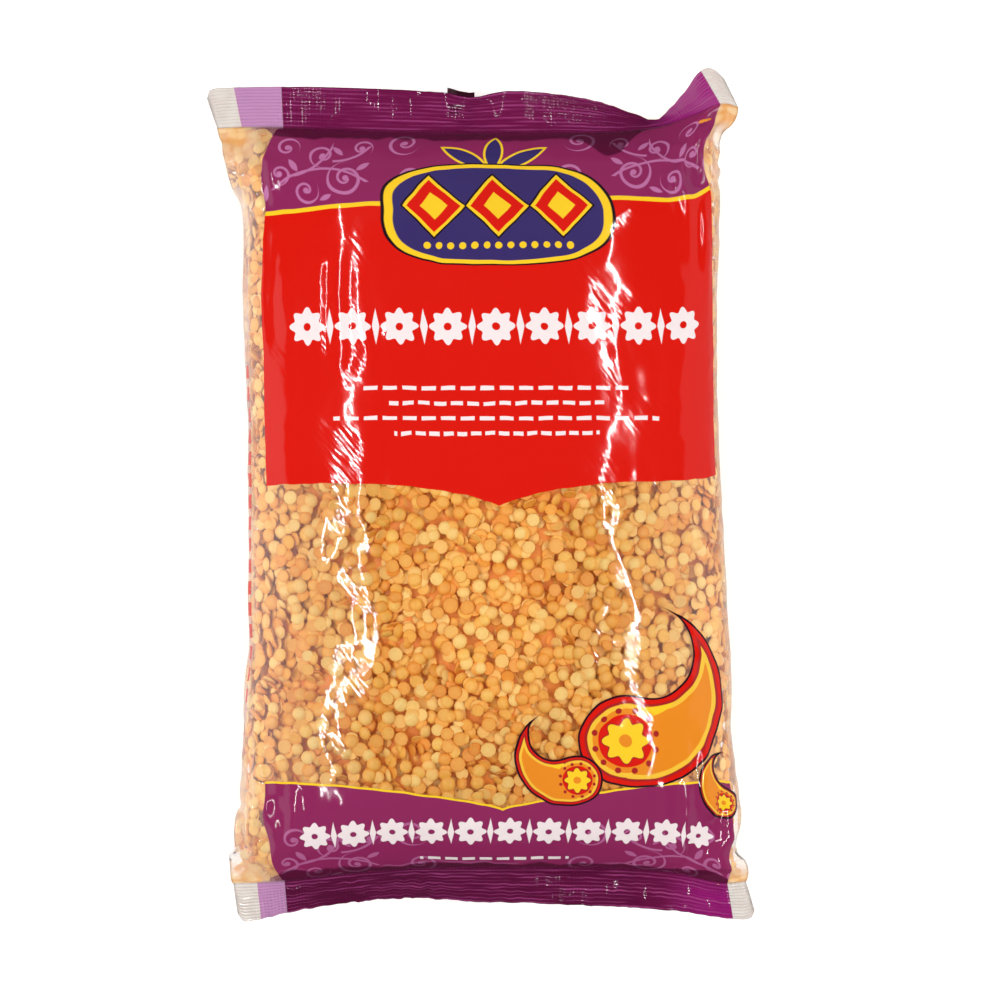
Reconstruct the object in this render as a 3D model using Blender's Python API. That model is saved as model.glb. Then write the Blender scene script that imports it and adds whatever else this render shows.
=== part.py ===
"""A two kilogram clear film bag of split lentils, lying on its back, in metres.

The film is one tube, sealed flat across at both ends. It is filled tight with
lentils, so the sealed bag is one solid: a stuffed body that runs out at each end
into a thin crimped seal. X is across the bag, +Y runs to its top seal and +Z is
up, out of its front. The solid stands on the flat of its back at Z = 0.
"""

import math

import bmesh
import bpy
import numpy as np
from mathutils import Vector

MM = 0.001

# The film tube, laid flat
FLAT_WIDTH = 206.0 * MM
SEAL_HEIGHT = 16.5 * MM
SEAL_THICKNESS = 1.2 * MM
CORNER_RADIUS = 4.0 * MM

# The stuffed body, lying down
FRONT_RISE = 33.2 * MM
BACK_DROP = 25.0 * MM
SEAM_LEVEL = 23.4 * MM
END_TAPER = 4.6
END_BLUNTNESS = 1.75
FRONT_SQUARENESS = 2.1
BACK_SQUARENESS = 2.4
FLAT_BACK_LEVEL = 0.0

# Left and right edges of the body seen from the front: (Y, X) in millimetres
LEFT_EDGE = (
    (-152.7, -97.1), (-143.0, -98.7), (-131.0, -97.6), (-118.0, -94.9),
    (-92.0, -93.4), (-70.0, -92.2), (-58.0, -90.4), (-38.0, -91.2), (5.0, -90.9),
    (45.0, -91.7), (78.0, -93.2), (108.0, -93.8), (118.0, -97.0), (131.0, -100.8),
    (143.0, -103.4),
)
RIGHT_EDGE = (
    (-152.0, 103.6), (-141.0, 104.4), (-119.0, 101.6), (-94.0, 98.0), (-78.0, 98.0),
    (-44.0, 95.8), (-6.0, 93.6), (38.0, 91.9), (75.0, 92.7), (104.0, 93.4),
    (115.0, 94.0), (123.0, 92.8), (133.0, 95.2), (149.6, 100.2),
)

# Each seal's inner line, from left to right: (share of the width, Y, Z) in millimetres
TOP_SEAL_LINE = (
    (0.00, 142.5, 24.0), (0.10, 143.0, 24.5), (0.25, 142.0, 25.0), (0.46, 141.2, 23.5),
    (0.65, 141.4, 22.5), (0.78, 141.6, 20.0), (0.86, 143.6, 17.5), (0.92, 148.0, 22.0),
    (0.97, 152.0, 28.0), (1.00, 150.4, 30.0),
)
BOTTOM_SEAL_LINE = (
    (0.00, -152.7, 22.0), (0.10, -151.8, 22.5), (0.21, -149.5, 23.0), (0.34, -147.2, 23.0),
    (0.48, -146.8, 22.0), (0.62, -146.8, 21.5), (0.76, -147.2, 22.0), (0.86, -148.8, 22.5),
    (0.95, -152.4, 22.5), (1.00, -152.0, 22.0),
)
# How each seal stands off its line: (share of the width, lean to the left, droop) in degrees
TOP_SEAL_SET = (
    (0.00, 19.0, 4.0), (0.10, 5.0, 12.0), (0.25, 0.0, 2.0), (0.44, 2.0, 16.0),
    (0.495, 0.0, 30.0), (0.57, 0.0, 10.0), (0.66, 2.0, 22.0), (0.75, 4.0, 40.0),
    (0.82, 6.0, 64.0), (0.86, 14.0, 76.0), (0.90, 34.0, 64.0), (0.94, 34.0, 44.0),
    (0.97, 28.0, 18.0), (1.00, 26.0, 2.0),
)
BOTTOM_SEAL_SET = (
    (0.00, 7.0, 12.0), (0.10, 3.0, 36.0), (0.21, 0.0, 42.0), (0.34, 0.0, 42.0),
    (0.48, 0.0, 32.0), (0.62, 0.0, 26.0), (0.76, 0.0, 20.0), (0.86, 0.0, 22.0),
    (0.95, 8.0, 26.0), (1.00, 17.0, 14.0),
)

# Shallow dents that the lentils leave in the face: (X, Y, radius, depth) in millimetres
FACE_DENTS = (
    (-66.0, 92.0, 30.0, 3.0), (-78.0, 48.0, 26.0, 2.6), (-70.0, 4.0, 24.0, 2.2),
    (70.0, 78.0, 30.0, 2.8), (58.0, 22.0, 24.0, 2.4), (66.0, -48.0, 30.0, 2.2),
    (-60.0, -82.0, 26.0, 2.2), (4.0, 126.0, 26.0, 2.0), (20.0, -128.0, 30.0, 1.8),
)

COLUMNS = 36
BODY_ROWS = 42
SEAL_ROWS = 4

FILM_COLOUR = (0.86, 0.36, 0.10, 1.0)


def clear_scene():
    for old in list(bpy.data.objects):
        bpy.data.objects.remove(old, do_unlink=True)


def eased(stations, at, column=1):
    """The value at a place between stations, on a smooth curve through them all."""
    places = [station[0] for station in stations]
    values = [station[column] for station in stations]
    last = len(places) - 1
    i = min(max(int(np.searchsorted(places, at)) - 1, 0), last - 1)
    span = places[i + 1] - places[i]
    t = min(max((at - places[i]) / span, 0.0), 1.0)

    def slope(k):
        low, high = max(k - 1, 0), min(k + 1, last)
        return (values[high] - values[low]) / (places[high] - places[low])

    stays = (2 * t**3 - 3 * t**2 + 1) * values[i] + (3 * t**2 - 2 * t**3) * values[i + 1]
    turns = (t**3 - 2 * t**2 + t) * slope(i) + (t**3 - t**2) * slope(i + 1)
    return stays + span * turns


def fullness(along):
    """How far the body is open between its seals, from 0 at a seal to 1."""
    out = abs(2 * along - 1) ** END_TAPER
    return max(1 - out, 0.0) ** (1 / END_BLUNTNESS)


def rounded(value, squareness):
    return math.copysign(abs(value) ** (2 / squareness), value)


def dent(x, y):
    """How deep the face is pressed in at a place, in metres."""
    depth = 0.0
    for cx, cy, radius, deepest in FACE_DENTS:
        away = math.hypot(x / MM - cx, y / MM - cy) / radius
        depth += deepest * math.exp(-2.2 * away * away)
    return depth * MM


def body_point(share, along, side):
    """A point of the body's skin: share across, along from the bottom seal, side 1 in front."""
    low = eased(BOTTOM_SEAL_LINE, share) * MM
    high = eased(TOP_SEAL_LINE, share) * MM
    y = low + (high - low) * along
    left = eased(LEFT_EDGE, y / MM) * MM
    right = eased(RIGHT_EDGE, y / MM) * MM
    low_level = eased(BOTTOM_SEAL_LINE, share, 2) * MM
    high_level = eased(TOP_SEAL_LINE, share, 2) * MM
    opening = fullness(along)
    level = low_level + (high_level - low_level) * along
    level += (SEAM_LEVEL - level) * opening
    squareness = FRONT_SQUARENESS if side > 0 else BACK_SQUARENESS
    turn = math.pi / 2 * (2 * share - 1)
    across = (1 - opening) * (2 * share - 1) + opening * rounded(math.sin(turn), squareness)
    x = (left + right) / 2 + (right - left) / 2 * across
    swell = opening * rounded(max(math.cos(turn), 0.0), squareness)
    if side > 0:
        z = level + SEAL_THICKNESS / 2 + FRONT_RISE * swell - dent(x, y) * swell
    else:
        z = max(level - SEAL_THICKNESS / 2 - BACK_DROP * swell, FLAT_BACK_LEVEL)
    return Vector((x, y, z))


def seal_reach(share):
    """The seal's height at a place across, less at its rounded corners."""
    inset = min(share, 1 - share) * FLAT_WIDTH
    if inset >= CORNER_RADIUS:
        return SEAL_HEIGHT
    gone = CORNER_RADIUS - inset
    return SEAL_HEIGHT - CORNER_RADIUS + math.sqrt(CORNER_RADIUS**2 - gone**2)


def seal_point(share, out, side, top):
    """A point of a seal: out from 0 at its inner line to 1 at its free edge."""
    line, setting, way = (
        (TOP_SEAL_LINE, TOP_SEAL_SET, 1) if top else (BOTTOM_SEAL_LINE, BOTTOM_SEAL_SET, -1)
    )
    foot = (body_point(share, float(top), 1) + body_point(share, float(top), -1)) / 2
    lean = math.radians(eased(setting, share, 1))
    droop = math.radians(eased(setting, share, 2))
    reach = seal_reach(share) * out
    flat = reach * math.cos(droop)
    centre = foot + Vector((
        -math.sin(lean) * flat * way,
        math.cos(lean) * flat * way,
        -math.sin(droop) * reach,
    ))
    face = Vector((0.0, math.sin(droop) * way, math.cos(droop)))
    return centre + face * (side * SEAL_THICKNESS / 2)


def across_shares():
    """Columns set closer together towards the sides, where the skin turns."""
    return [0.5 - 0.5 * math.cos(math.pi * i / COLUMNS) * (1 - 0.18 * math.sin(math.pi * i / COLUMNS))
            for i in range(COLUMNS + 1)]


def along_stations():
    """Rows set closer together towards the seals."""
    return [0.5 - 0.5 * math.cos(math.pi * j / BODY_ROWS) for j in range(BODY_ROWS + 1)]


def rings():
    """Closed rings of points from the bottom seal's free edge to the top seal's."""
    shares = across_shares()
    made = []

    def ring(point):
        front = [point(share, 1) for share in shares]
        back = [point(share, -1) for share in reversed(shares)]
        made.append(front + back)

    for k in range(SEAL_ROWS, 0, -1):
        ring(lambda share, side, out=k / SEAL_ROWS: seal_point(share, out, side, False))
    for along in along_stations():
        ring(lambda share, side, along=along: body_point(share, along, side))
    for k in range(1, SEAL_ROWS + 1):
        ring(lambda share, side, out=k / SEAL_ROWS: seal_point(share, out, side, True))
    return made


def loft(name, sections):
    """One closed skin through rings of equally many points, capped at both ends."""
    mesh = bpy.data.meshes.new(name)
    form = bmesh.new()
    loops = []
    for section in sections:
        points = [form.verts.new(place) for place in section]
        loops.append([form.edges.new((points[i - 1], points[i])) for i in range(len(points))])
    for first, second in zip(loops, loops[1:]):
        bmesh.ops.bridge_loops(form, edges=first + second)
    half = len(sections[0]) // 2
    form.verts.ensure_lookup_table()
    for start in (0, len(form.verts) - 2 * half):
        ends = [form.verts[start + i] for i in range(2 * half)]
        for i in range(half - 1):
            form.faces.new((ends[i], ends[i + 1], ends[-2 - i], ends[-1 - i]))
    bmesh.ops.recalc_face_normals(form, faces=form.faces)
    form.to_mesh(mesh)
    form.free()
    made = bpy.data.objects.new(name, mesh)
    return made


def set_on_origin(thing):
    """Moves the points so that the box's foot is centred on the origin."""
    points = np.array([v.co for v in thing.data.vertices])
    low, high = points.min(axis=0), points.max(axis=0)
    shift = Vector((-(low[0] + high[0]) / 2, -(low[1] + high[1]) / 2, -low[2]))
    for vertex in thing.data.vertices:
        vertex.co += shift


def film_material():
    material = bpy.data.materials.new("glossy_film_over_lentils")
    material.use_nodes = True
    shader = material.node_tree.nodes["Principled BSDF"]
    shader.inputs["Base Color"].default_value = FILM_COLOUR
    shader.inputs["Roughness"].default_value = 0.2
    shader.inputs["Metallic"].default_value = 0.0
    return material


def build():
    clear_scene()
    parts = bpy.data.collections.new("lentil_bag")
    bpy.context.scene.collection.children.link(parts)
    bag = loft("bag", rings())
    parts.objects.link(bag)
    set_on_origin(bag)
    bag.data.materials.append(film_material())
    bag.data.shade_smooth()


build()
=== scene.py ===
# %% [markdown]
# # A two kilogram bag of split lentils
# The real bag is made on a form-fill-seal machine: a printed web of clear film is
# closed into a tube along its back, sealed and cut across below, filled from above,
# and sealed and cut across again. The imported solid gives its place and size, and
# this script dresses it as film, print and loose lentils.

# %%
import math

import bmesh
import bpy
import numpy as np
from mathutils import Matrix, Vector
from mathutils.bvhtree import BVHTree


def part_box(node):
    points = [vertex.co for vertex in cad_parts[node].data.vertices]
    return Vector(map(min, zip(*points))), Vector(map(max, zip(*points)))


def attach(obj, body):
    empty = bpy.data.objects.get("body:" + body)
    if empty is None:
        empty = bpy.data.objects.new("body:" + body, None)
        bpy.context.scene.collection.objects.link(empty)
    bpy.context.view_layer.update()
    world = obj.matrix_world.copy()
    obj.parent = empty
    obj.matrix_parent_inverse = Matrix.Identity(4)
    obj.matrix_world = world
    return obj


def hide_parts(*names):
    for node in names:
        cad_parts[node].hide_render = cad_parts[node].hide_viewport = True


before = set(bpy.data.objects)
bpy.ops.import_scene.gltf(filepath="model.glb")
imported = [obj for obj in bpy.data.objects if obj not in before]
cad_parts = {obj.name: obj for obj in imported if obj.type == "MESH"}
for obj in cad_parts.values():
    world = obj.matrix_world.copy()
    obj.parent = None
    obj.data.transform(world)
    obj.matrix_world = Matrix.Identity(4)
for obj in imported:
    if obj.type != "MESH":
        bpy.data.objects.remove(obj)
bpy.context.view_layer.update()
solid_low, solid_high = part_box("bag")

# %% [markdown]
# ## Sizes
# The film is measured as it came off the roll, in millimetres: U runs across it,
# from 0 at the middle of the front to 206 at the back seam either way, and V runs
# along it, from 0 at the bottom seal to its length between the seals.

# %%
MM = 0.001
GIRTH = 412.0
LENGTH = 315.0
SEAL = 16.5
CORNER = 4.0
SEAM = 214.5
HALF = GIRTH / 4
PRINT_LEFT, PRINT_RIGHT = -87.5, 95.5
BACK_LEFT, BACK_RIGHT = -113.0, 134.0

# %% [markdown]
# ## How the filled bag lies
# The outline is set by a few stations down each side, and the two seals by the line
# where they start and by how they lean and droop. These are the stations that the
# solid was lofted through, so the film lands on it.

# %%
LEFT_EDGE = (
    (-152.7, -97.1), (-143.0, -98.7), (-131.0, -97.6), (-118.0, -94.9),
    (-92.0, -93.4), (-70.0, -92.2), (-58.0, -90.4), (-38.0, -91.2), (5.0, -90.9),
    (45.0, -91.7), (78.0, -93.2), (108.0, -93.8), (118.0, -97.0), (131.0, -100.8),
    (143.0, -103.4),
)
RIGHT_EDGE = (
    (-152.0, 103.6), (-141.0, 104.4), (-119.0, 101.6), (-94.0, 98.0), (-78.0, 98.0),
    (-44.0, 95.8), (-6.0, 93.6), (38.0, 91.9), (75.0, 92.7), (104.0, 93.4),
    (115.0, 94.0), (123.0, 92.8), (133.0, 95.2), (149.6, 100.2),
)
TOP_LINE = (
    (0.00, 142.5, 24.0), (0.10, 143.0, 24.5), (0.25, 142.0, 25.0), (0.46, 141.2, 23.5),
    (0.65, 141.4, 22.5), (0.78, 141.6, 20.0), (0.86, 143.6, 17.5), (0.92, 148.0, 22.0),
    (0.97, 152.0, 28.0), (1.00, 150.4, 30.0),
)
BOTTOM_LINE = (
    (0.00, -152.7, 22.0), (0.10, -151.8, 22.5), (0.21, -149.5, 23.0), (0.34, -147.2, 23.0),
    (0.48, -146.8, 22.0), (0.62, -146.8, 21.5), (0.76, -147.2, 22.0), (0.86, -148.8, 22.5),
    (0.95, -152.4, 22.5), (1.00, -152.0, 22.0),
)
TOP_SET = (
    (0.00, 19.0, 4.0), (0.10, 5.0, 12.0), (0.25, 0.0, 2.0), (0.44, 2.0, 16.0),
    (0.495, 0.0, 30.0), (0.57, 0.0, 10.0), (0.66, 2.0, 22.0), (0.75, 4.0, 40.0),
    (0.82, 6.0, 64.0), (0.86, 14.0, 76.0), (0.90, 34.0, 64.0), (0.94, 34.0, 44.0),
    (0.97, 28.0, 18.0), (1.00, 26.0, 2.0),
)
BOTTOM_SET = (
    (0.00, 7.0, 12.0), (0.10, 3.0, 36.0), (0.21, 0.0, 42.0), (0.34, 0.0, 42.0),
    (0.48, 0.0, 32.0), (0.62, 0.0, 26.0), (0.76, 0.0, 20.0), (0.86, 0.0, 22.0),
    (0.95, 8.0, 26.0), (1.00, 17.0, 14.0),
)
DENTS = (
    (-66.0, 92.0, 30.0, 3.0), (-78.0, 48.0, 26.0, 2.6), (-70.0, 4.0, 24.0, 2.2),
    (70.0, 78.0, 30.0, 2.8), (58.0, 22.0, 24.0, 2.4), (66.0, -48.0, 30.0, 2.2),
    (-60.0, -82.0, 26.0, 2.2), (4.0, 126.0, 26.0, 2.0), (20.0, -128.0, 30.0, 1.8),
)


def eased(stations, at, column=1):
    """Values between stations, on one smooth curve through them all."""
    table = np.array(stations)
    places, values = table[:, 0], table[:, column]
    i = np.clip(np.searchsorted(places, at) - 1, 0, len(places) - 2)
    order = np.arange(len(places))
    low, high = np.maximum(order - 1, 0), np.minimum(order + 1, len(places) - 1)
    slope = (values[high] - values[low]) / (places[high] - places[low])
    span = places[i + 1] - places[i]
    t = np.clip((at - places[i]) / span, 0, 1)
    stays = (2 * t**3 - 3 * t**2 + 1) * values[i] + (3 * t**2 - 2 * t**3) * values[i + 1]
    return stays + span * ((t**3 - 2 * t**2 + t) * slope[i] + (t**3 - t**2) * slope[i + 1])


def fullness(along):
    return np.maximum(1 - np.abs(2 * along - 1) ** 4.6, 0) ** (1 / 1.75)


def body_point(share, along, front):
    """The filled bag's skin: share across, along from the bottom seal, in front or behind."""
    low, high = eased(BOTTOM_LINE, share), eased(TOP_LINE, share)
    y = low + (high - low) * along
    left, right = eased(LEFT_EDGE, y), eased(RIGHT_EDGE, y)
    opening = fullness(along)
    low, high = eased(BOTTOM_LINE, share, 2), eased(TOP_LINE, share, 2)
    level = low + (high - low) * along
    level = level + (23.4 - level) * opening
    square = 2.1 if front else 2.4
    turn = math.pi / 2 * (2 * share - 1)
    round_across = np.sign(turn) * np.abs(np.sin(turn)) ** (2 / square)
    across = (1 - opening) * (2 * share - 1) + opening * round_across
    x = (left + right) / 2 + (right - left) / 2 * across
    swell = opening * np.maximum(np.cos(turn), 0) ** (2 / square)
    dent = sum(deep * np.exp(-2.2 * ((x - cx) ** 2 + (y - cy) ** 2) / size**2)
               for cx, cy, size, deep in DENTS)
    z = level + 0.6 + (33.2 - dent) * swell if front else np.maximum(level - 0.6 - 25 * swell, 0)
    return np.stack([x, y, z], axis=-1)


def seal_sheet(share, out, top):
    """The middle of a seal's sheet, out from its inner line to its free edge, and its face."""
    line, setting, way = (TOP_LINE, TOP_SET, 1) if top else (BOTTOM_LINE, BOTTOM_SET, -1)
    end = np.full_like(share, float(top))
    foot = (body_point(share, end, True) + body_point(share, end, False)) / 2
    lean = np.radians(eased(setting, share, 1))
    droop = np.radians(eased(setting, share, 2))
    gone = np.maximum(CORNER - np.minimum(share, 1 - share) * 2 * HALF, 0)
    reach = (SEAL - CORNER + np.sqrt(CORNER**2 - gone**2)) * out
    flat = reach * np.cos(droop)
    way_out = (-np.sin(lean) * flat * way, np.cos(lean) * flat * way, -np.sin(droop) * reach)
    face = (np.zeros_like(share), np.sin(droop) * way, np.cos(droop))
    return foot + np.stack(way_out, axis=-1), np.stack(face, axis=-1)


# %% [markdown]
# ## The film's resting grid
# Rings of points run round the bag, evenly spaced by length, from the left edge over
# the front and back under it. A point of the flat film finds its place on them.

# %%
def even_rings(along, steps):
    """Rings round the body, with this many even steps in front and as many behind."""
    share = 0.5 - 0.5 * np.cos(np.linspace(0, math.pi, 241))
    rings = []
    for at in along:
        ring = []
        for front in (True, False):
            line = body_point(share, np.full_like(share, at), front)
            line = line if front else line[::-1]
            run = np.concatenate([[0], np.cumsum(np.linalg.norm(np.diff(line, axis=0), axis=1))])
            even = np.linspace(0, run[-1], steps + 1)[:-1]
            ring.append(np.stack([np.interp(even, run, line[:, k]) for k in range(3)], axis=-1))
        rings.append(np.concatenate(ring))
    return np.array(rings)


def even_stations(count):
    """Stations between the seals, evenly spaced by length on the skin."""
    along = np.linspace(0, 1, 801)
    line = body_point(np.full_like(along, 0.3), along, True)
    run = np.concatenate([[0], np.cumsum(np.linalg.norm(np.diff(line, axis=0), axis=1))])
    return np.interp(np.linspace(0, run[-1], count + 1), run, along)


def outward(rings):
    """Unit normals of the rings' surface, pointing out of the bag."""
    round_it = np.roll(rings, -1, axis=1) - np.roll(rings, 1, axis=1)
    normal = np.cross(np.gradient(rings, axis=0), round_it)
    normal /= np.maximum(np.linalg.norm(normal, axis=2, keepdims=True), 1e-9)
    middle = rings.mean(axis=1, keepdims=True)
    return normal * np.sign(np.sum(normal * (rings - middle)))


HALF_STEPS, ROWS = 52, 79
stations = even_stations(ROWS)
start = even_rings(stations, HALF_STEPS)
start_out = outward(start)
opened = fullness(stations)[:, None]
print("rings:", start.shape[0], "of", start.shape[1], "points")

# %% [markdown]
# ## Settling the film
# Film doesn't stretch, so a tube of it round a swollen bag has too much length at its
# sides: the surplus buckles into creases there and at the corners. Blender's cloth
# finds them. The flat tube is the cloth's rest shape, the two seals are pinned, and
# the lentils are an uneven heap inside, a little short of the film at the sides.

# %%
def waves(places, seed, length, height, count=60):
    """Smooth uneven relief: many plane waves of about one length, in all directions."""
    draw = np.random.default_rng(seed)
    way = draw.normal(size=(count, 3))
    way /= np.linalg.norm(way, axis=1, keepdims=True)
    way *= 2 * math.pi / (length * draw.uniform(0.7, 1.4, (count, 1)))
    phase = draw.uniform(0, 2 * math.pi, count)
    return height * np.cos(places @ way.T + phase).sum(axis=-1) / math.sqrt(count / 2)


def tube(name, rings):
    """A mesh through the rings, open at both ends."""
    form = bmesh.new()
    rows = [[form.verts.new(Vector(place) * MM) for place in ring] for ring in rings]
    loops = [[form.edges.new((row[i - 1], row[i])) for i in range(len(row))] for row in rows]
    for first, second in zip(loops, loops[1:]):
        bmesh.ops.bridge_loops(form, edges=first + second)
    bmesh.ops.recalc_face_normals(form, faces=form.faces)
    mesh = bpy.data.meshes.new(name)
    form.to_mesh(mesh)
    form.free()
    made = bpy.data.objects.new(name, mesh)
    bpy.context.scene.collection.objects.link(made)
    return made


def settle(frames=24):
    """Runs the cloth and returns its rings, in millimetres."""
    scene = bpy.context.scene
    middle_x = (start[:, :, 0].max(axis=1) + start[:, :, 0].min(axis=1))[:, None] / 2
    half_wide = (start[:, :, 0].max(axis=1) - start[:, :, 0].min(axis=1))[:, None] / 2
    side = np.clip((np.abs(start[:, :, 0] - middle_x) / half_wide - 0.8) / 0.2, 0, 1)
    inset = 1.2 + 1.3 * side - waves(start, 3, 55, 0.5)
    heap_rings = start - start_out * (inset * opened)[:, :, None]
    heap_rings[:, :, 2] = np.maximum(heap_rings[:, :, 2], 0.6)
    heap = tube("heap_trial", heap_rings)
    draw = np.random.default_rng(5)
    shaken = (0.6 * start_out + draw.normal(size=start.shape) * 0.15) * opened[:, :, None]
    film = tube("film_trial", start + shaken)
    film.shape_key_add(name="Basis")
    flat = film.shape_key_add(name="flat")
    turn = 2 * math.pi * np.arange(2 * HALF_STEPS) / (2 * HALF_STEPS)
    radius = GIRTH / (2 * math.pi)
    level = np.linspace(0, LENGTH + 2, ROWS + 1)[:, None]
    rest = np.stack(np.broadcast_arrays(radius * np.sin(turn), level, radius * np.cos(turn)), axis=-1)
    flat.data.foreach_set("co", (rest * MM).astype(np.float32).ravel())
    ring = 2 * HALF_STEPS
    seals = film.vertex_groups.new(name="seals")
    seals.add([*range(ring), *range(ROWS * ring, (ROWS + 1) * ring)], 1.0, "REPLACE")
    heap.modifiers.new("collision", "COLLISION")
    heap.collision.thickness_outer = 0.0006
    heap.collision.thickness_inner = 0.003
    heap.collision.cloth_friction = 1.0
    cloth = film.modifiers.new("cloth", "CLOTH")
    setting = cloth.settings
    setting.quality = 5
    setting.mass = 0.01
    setting.tension_stiffness = setting.compression_stiffness = 80
    setting.shear_stiffness = 30
    setting.bending_model = "ANGULAR"
    setting.bending_stiffness = 0.01
    setting.tension_damping = setting.compression_damping = 10
    setting.shear_damping = 5
    setting.bending_damping = 0.2
    setting.air_damping = 3
    setting.vertex_group_mass = "seals"
    setting.pin_stiffness = 50
    setting.rest_shape_key = flat
    setting.use_pressure = True
    setting.uniform_pressure_force = -0.15
    setting.effector_weights.gravity = 0.0
    cloth.collision_settings.distance_min = 0.0006
    cloth.collision_settings.collision_quality = 2
    cloth.point_cache.frame_end = frames
    scene.frame_start, scene.frame_end = 1, frames
    for number in range(1, frames + 1):
        scene.frame_set(number)
    shaped = film.evaluated_get(bpy.context.evaluated_depsgraph_get()).to_mesh()
    places = np.empty(len(shaped.vertices) * 3)
    shaped.vertices.foreach_get("co", places)
    for trial in (film, heap):
        bpy.data.objects.remove(trial, do_unlink=True)
    scene.frame_set(1)
    return places.reshape(start.shape) / MM


settled = settle()
settled[:, :, 2] = np.maximum(settled[:, :, 2], 0.45)
from_ends = np.minimum(np.arange(ROWS + 1), ROWS - np.arange(ROWS + 1))[:, None, None]
settled = start + (settled - start) * np.clip(from_ends / 9 + 0.15, 0, 1) * (from_ends > 0)
girths = np.linalg.norm(np.roll(settled, -1, axis=1) - settled, axis=2).sum(axis=1)
print("settled girth from", round(girths.min(), 1), "to", round(girths.max(), 1), "mm")

# %% [markdown]
# ## Reading a place on the film
# One function takes flat film places to the bag, so that the film's own mesh, its back
# seam and the lentils against it all read the same surface.

# %%
solid_middle = (np.array(solid_low) + np.array(solid_high)) / 2 / MM


def sealed_shares(top):
    """The share across a seal for even steps along its inner line."""
    share = np.linspace(0, 1, 401)
    line = body_point(share, np.full_like(share, float(top)), True)
    run = np.concatenate([[0], np.cumsum(np.linalg.norm(np.diff(line, axis=0), axis=1))])
    return run / run[-1], share


def fold(u):
    """The flat place in front that a place on the film lies over, and 1 in front, -1 behind."""
    u = (u + HALF) % GIRTH - HALF
    return np.where(u > HALF, 2 * HALF - u, u), np.where(u > HALF, -1.0, 1.0)


def spline_weights(t):
    return ((-t + 2 * t**2 - t**3) / 2, (2 - 5 * t**2 + 3 * t**3) / 2,
            (t + 4 * t**2 - 3 * t**3) / 2, (-t**2 + t**3) / 2)


def on_rings(rings, u, v):
    """Smooth places between the rings' points for flat film places on the body."""
    row = np.clip(v / LENGTH, 0, 1) * (len(rings) - 1)
    column = ((u + HALF) % GIRTH) / GIRTH * rings.shape[1]
    i, j = np.minimum(row.astype(int), len(rings) - 2), column.astype(int)
    down, across = spline_weights(row - i), spline_weights(column - j)
    total = 0
    for a in range(4):
        at_row = np.clip(i + a - 1, 0, len(rings) - 1)
        for b in range(4):
            at_column = (j + b - 1) % rings.shape[1]
            total = total + (down[a] * across[b])[..., None] * rings[at_row, at_column]
    return total


ENDS = {True: sealed_shares(True), False: sealed_shares(False)}
shift = np.array([0.0, 0.0, 0.0])
edge_u = np.linspace(0, 1, 200)
spread = [start.reshape(-1, 3)] + [seal_sheet(edge_u, np.ones(200), top)[0] for top in (True, False)]
spread = np.concatenate(spread)
shift[:2] = (solid_middle - (spread.min(axis=0) + spread.max(axis=0)) / 2)[:2]
print("moved by", np.round(shift, 2), "mm onto the solid")


def on_seal(u, v, top):
    """Places in a crimped seal, whose jaws pressed ribs across it."""
    place, side = fold(u)
    runs, shares = ENDS[top]
    share = np.interp((place + HALF) / (2 * HALF), runs, shares)
    out = np.clip((v - LENGTH if top else -v) / SEAL, 0, 1)
    sheet, face = seal_sheet(share, out, top)
    pressed = np.clip(out * 9, 0, 1) * np.clip((1 - out) * 14, 0, 1)
    rib = 0.26 * np.sin(2 * math.pi * out * SEAL / 1.32)
    fret = waves(np.stack([place * 1.0, v * 0.35, 0 * v], axis=-1), 11, 5.0, 0.16 if top else 0.26)
    ridge = 0.35 * np.exp(-((place - (2 * HALF - SEAM) - 5) / 0.9) ** 2)
    lift = side * 0.22 + pressed * rib + np.clip(out * 4, 0, 1) * (fret + ridge)
    return sheet + face * lift[..., None]


def film_at(u, v, rings):
    """Places of flat film places on the bag, in metres."""
    body = on_rings(rings, u, v)
    top, bottom = on_seal(u, np.maximum(v, LENGTH), True), on_seal(u, np.minimum(v, 0), False)
    place = np.where((v > LENGTH)[..., None], top, np.where((v < 0)[..., None], bottom, body))
    return (place + shift) * MM


def frame_at(u, v, rings):
    """Places with the film's outward, across and along directions there."""
    step = 0.6
    place = film_at(u, v, rings)
    across = film_at(u + step, v, rings) - film_at(u - step, v, rings)
    along = film_at(u, v + step, rings) - film_at(u, v - step, rings)
    out = np.cross(across, along)
    out /= np.maximum(np.linalg.norm(out, axis=-1, keepdims=True), 1e-12)
    across /= np.linalg.norm(across, axis=-1, keepdims=True)
    return place, out, across, np.cross(out, across)


# %% [markdown]
# ## The film
# A flat grid of the whole web, with its UV map kept as it lay, is wrapped onto the bag.
# Rows are set close in the seals, where the ribs are.

# %%
COLUMNS, BODY_ROWS, SEAL_ROWS = 264, 206, 46


def row_levels():
    seal = np.linspace(0, SEAL, SEAL_ROWS + 1)
    body = np.linspace(0, LENGTH, BODY_ROWS + 1)
    return np.concatenate([-seal[:0:-1], body, LENGTH + seal[1:]])


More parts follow.
